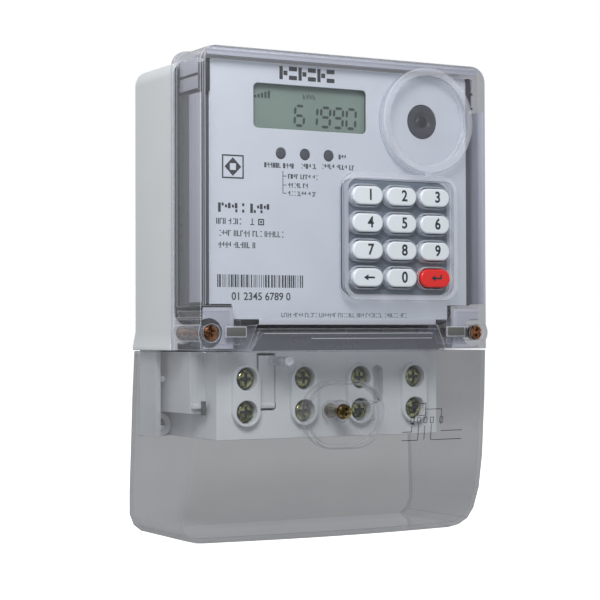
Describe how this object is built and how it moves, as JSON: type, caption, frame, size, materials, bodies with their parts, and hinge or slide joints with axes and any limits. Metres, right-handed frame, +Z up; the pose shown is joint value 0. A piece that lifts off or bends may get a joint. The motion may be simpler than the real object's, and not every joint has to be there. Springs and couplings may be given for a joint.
{
  "type": "prepaid electricity meter",
  "caption": "Wall-mounted prepaid electricity meter with a keypad, a digit display and a clear cover over its screw terminals.",
  "frame": {"origin": "centre of the back wall's contact face, on the wall plane", "axes": "+X to the right seen from the front, +Z up, the front faces -Y"},
  "size_m": [0.136, 0.0633, 0.1916],
  "materials": {
    "case_grey": "fine matte moulded grey",
    "clear_cover": "clear polycarbonate",
    "seal_rubber": "matte black",
    "frame_dark": "matte dark grey",
    "plate_print": "satin printed blue-grey white",
    "display": "green-grey reflective display",
    "guide": "translucent light guide",
    "dark_window": "smoked window",
    "board": "green circuit board",
    "mat_rubber": "translucent silicone",
    "key_white": "satin white",
    "key_red": "satin red",
    "brass_part": "machined brass",
    "copper_screw": "copper-coloured sealing screw",
    "zinc_screw": "yellow-green zinc plated steel",
    "steel": "bright steel",
    "copper_bar": "bare copper",
    "part_black": "black moulded part",
    "part_blue": "blue sleeve"
  },
  "bodies": {
    "meter": {"base_case": "case_grey", "cover_gasket": "seal_rubber", "main_cover": "clear_cover", "keypad_mat": "mat_rubber", "name_plate": "plate_print", "inner_frame": "frame_dark", "lcd_glass": "display", "lcd_backlight": "guide", "lcd_frame": "part_black", "status_leds": "dark_window", "optical_window": "dark_window", "optical_pair": "dark_window", "display_board": "board", "main_board": "board", "board_header": "part_black", "board_screws": "steel", "latching_relay": "part_black", "supply_transformer": "steel", "reservoir_capacitors": "part_blue", "backup_battery": "part_blue", "buzzer": "part_black", "terminal_block": "case_grey", "terminal_1": "brass_part", "terminal_2": "brass_part", "terminal_3": "brass_part", "terminal_4": "brass_part", "screw_inserts": "brass_part", "busbars": "copper_bar", "current_shunt": "copper_bar", "switch_body": "part_black"},
    "key_1_cap": {"key_1": "key_white"},
    "key_2_cap": {"key_2": "key_white"},
    "key_3_cap": {"key_3": "key_white"},
    "key_4_cap": {"key_4": "key_white"},
    "key_5_cap": {"key_5": "key_white"},
    "key_6_cap": {"key_6": "key_white"},
    "key_7_cap": {"key_7": "key_white"},
    "key_8_cap": {"key_8": "key_white"},
    "key_9_cap": {"key_9": "key_white"},
    "key_back_cap": {"key_back": "key_white"},
    "key_0_cap": {"key_0": "key_white"},
    "key_enter_cap": {"key_enter": "key_red"},
    "terminal_screw_1a_body": {"terminal_screw_1a": "zinc_screw"},
    "terminal_screw_1b_body": {"terminal_screw_1b": "zinc_screw"},
    "terminal_screw_2a_body": {"terminal_screw_2a": "zinc_screw"},
    "terminal_screw_2b_body": {"terminal_screw_2b": "zinc_screw"},
    "terminal_screw_3a_body": {"terminal_screw_3a": "zinc_screw"},
    "terminal_screw_3b_body": {"terminal_screw_3b": "zinc_screw"},
    "terminal_screw_4a_body": {"terminal_screw_4a": "zinc_screw"},
    "terminal_screw_4b_body": {"terminal_screw_4b": "zinc_screw"},
    "terminal_lid": {"terminal_cover": "clear_cover"},
    "seal_washer_left_body": {"seal_washer_left": "copper_screw"},
    "seal_screw_left_body": {"seal_screw_left": "copper_screw"},
    "seal_washer_right_body": {"seal_washer_right": "copper_screw"},
    "seal_screw_right_body": {"seal_screw_right": "copper_screw"},
    "seal_washer_middle_body": {"seal_washer_middle": "copper_screw"},
    "seal_screw_middle_body": {"seal_screw_middle": "copper_screw"},
    "lever": {"tamper_lever": "case_grey"},
    "plunger": {"switch_plunger": "key_red"},
    "lug": {"hanging_lug": "case_grey"}
  },
  "joints": [
    {"name": "key_1_press", "type": "slide", "parent": "meter", "child": "key_1_cap", "axis": [0, 1, 0], "range_m": [0, 0.0012], "stiffness_N_per_m": 300, "springref_m": -0.003},
    {"name": "key_2_press", "type": "slide", "parent": "meter", "child": "key_2_cap", "axis": [0, 1, 0], "range_m": [0, 0.0012], "stiffness_N_per_m": 300, "springref_m": -0.003},
    {"name": "key_3_press", "type": "slide", "parent": "meter", "child": "key_3_cap", "axis": [0, 1, 0], "range_m": [0, 0.0012], "stiffness_N_per_m": 300, "springref_m": -0.003},
    {"name": "key_4_press", "type": "slide", "parent": "meter", "child": "key_4_cap", "axis": [0, 1, 0], "range_m": [0, 0.0012], "stiffness_N_per_m": 300, "springref_m": -0.003},
    {"name": "key_5_press", "type": "slide", "parent": "meter", "child": "key_5_cap", "axis": [0, 1, 0], "range_m": [0, 0.0012], "stiffness_N_per_m": 300, "springref_m": -0.003},
    {"name": "key_6_press", "type": "slide", "parent": "meter", "child": "key_6_cap", "axis": [0, 1, 0], "range_m": [0, 0.0012], "stiffness_N_per_m": 300, "springref_m": -0.003},
    {"name": "key_7_press", "type": "slide", "parent": "meter", "child": "key_7_cap", "axis": [0, 1, 0], "range_m": [0, 0.0012], "stiffness_N_per_m": 300, "springref_m": -0.003},
    {"name": "key_8_press", "type": "slide", "parent": "meter", "child": "key_8_cap", "axis": [0, 1, 0], "range_m": [0, 0.0012], "stiffness_N_per_m": 300, "springref_m": -0.003},
    {"name": "key_9_press", "type": "slide", "parent": "meter", "child": "key_9_cap", "axis": [0, 1, 0], "range_m": [0, 0.0012], "stiffness_N_per_m": 300, "springref_m": -0.003},
    {"name": "key_back_press", "type": "slide", "parent": "meter", "child": "key_back_cap", "axis": [0, 1, 0], "range_m": [0, 0.0012], "stiffness_N_per_m": 300, "springref_m": -0.003},
    {"name": "key_0_press", "type": "slide", "parent": "meter", "child": "key_0_cap", "axis": [0, 1, 0], "range_m": [0, 0.0012], "stiffness_N_per_m": 300, "springref_m": -0.003},
    {"name": "key_enter_press", "type": "slide", "parent": "meter", "child": "key_enter_cap", "axis": [0, 1, 0], "range_m": [0, 0.0012], "stiffness_N_per_m": 300, "springref_m": -0.003},
    {"name": "terminal_screw_1a_travel", "type": "slide", "parent": "meter", "child": "terminal_screw_1a_body", "axis": [0, 1, 0], "range_m": [-0.0025, 0.0052]},
    {"name": "terminal_screw_1b_travel", "type": "slide", "parent": "meter", "child": "terminal_screw_1b_body", "axis": [0, 1, 0], "range_m": [-0.0025, 0.0052]},
    {"name": "terminal_screw_2a_travel", "type": "slide", "parent": "meter", "child": "terminal_screw_2a_body", "axis": [0, 1, 0], "range_m": [-0.0025, 0.0052]},
    {"name": "terminal_screw_2b_travel", "type": "slide", "parent": "meter", "child": "terminal_screw_2b_body", "axis": [0, 1, 0], "range_m": [-0.0025, 0.0052]},
    {"name": "terminal_screw_3a_travel", "type": "slide", "parent": "meter", "child": "terminal_screw_3a_body", "axis": [0, 1, 0], "range_m": [-0.0025, 0.0052]},
    {"name": "terminal_screw_3b_travel", "type": "slide", "parent": "meter", "child": "terminal_screw_3b_body", "axis": [0, 1, 0], "range_m": [-0.0025, 0.0052]},
    {"name": "terminal_screw_4a_travel", "type": "slide", "parent": "meter", "child": "terminal_screw_4a_body", "axis": [0, 1, 0], "range_m": [-0.0025, 0.0052]},
    {"name": "terminal_screw_4b_travel", "type": "slide", "parent": "meter", "child": "terminal_screw_4b_body", "axis": [0, 1, 0], "range_m": [-0.0025, 0.0052]},
    {"name": "terminal_cover_slide", "type": "slide", "parent": "meter", "child": "terminal_lid", "axis": [0, -1, 0], "range_m": [0, 0.07]},
    {"name": "seal_left_travel", "type": "slide", "parent": "meter", "child": "seal_washer_left_body", "axis": [0, -1, 0], "range_m": [0, 0.0056]},
    {"name": "seal_left_turn", "type": "hinge", "parent": "seal_washer_left_body", "child": "seal_screw_left_body", "pos_m": [-0.0606, -0.0575, -0.0327], "axis": [0, -1, 0], "range_deg": [0, 2881]},
    {"name": "seal_right_travel", "type": "slide", "parent": "meter", "child": "seal_washer_right_body", "axis": [0, -1, 0], "range_m": [0, 0.0056]},
    {"name": "seal_right_turn", "type": "hinge", "parent": "seal_washer_right_body", "child": "seal_screw_right_body", "pos_m": [0.0606, -0.0575, -0.0327], "axis": [0, -1, 0], "range_deg": [0, 2881]},
    {"name": "seal_middle_travel", "type": "slide", "parent": "terminal_lid", "child": "seal_washer_middle_body", "axis": [0, -1, 0], "range_m": [0, 0.0056]},
    {"name": "seal_middle_turn", "type": "hinge", "parent": "seal_washer_middle_body", "child": "seal_screw_middle_body", "pos_m": [0, -0.0575, -0.064], "axis": [0, -1, 0], "range_deg": [0, 2881]},
    {"name": "tamper_lever_hinge", "type": "hinge", "parent": "meter", "child": "lever", "pos_m": [-0.0288, -0.0452, -0.0612], "axis": [-1, 0, 0], "range_deg": [0, 5], "stiffness_Nm_per_rad": 0.02, "springref_deg": -11.46},
    {"name": "switch_plunger_travel", "type": "slide", "parent": "meter", "child": "plunger", "axis": [0, 1, 0], "range_m": [0, 0.0013]},
    {"name": "hanging_lug_slide", "type": "slide", "parent": "meter", "child": "lug", "axis": [0, 0, 1], "range_m": [0, 0.014]}
  ],
  "couplings": [
    {"joint": "seal_left_turn", "follows": "seal_left_travel", "rad_per_m": 8976},
    {"joint": "seal_right_turn", "follows": "seal_right_travel", "rad_per_m": 8976},
    {"joint": "seal_middle_turn", "follows": "seal_middle_travel", "rad_per_m": 8976},
    {"joint": "switch_plunger_travel", "follows": "tamper_lever_hinge", "m_per_rad": 0.0127}
  ]
}
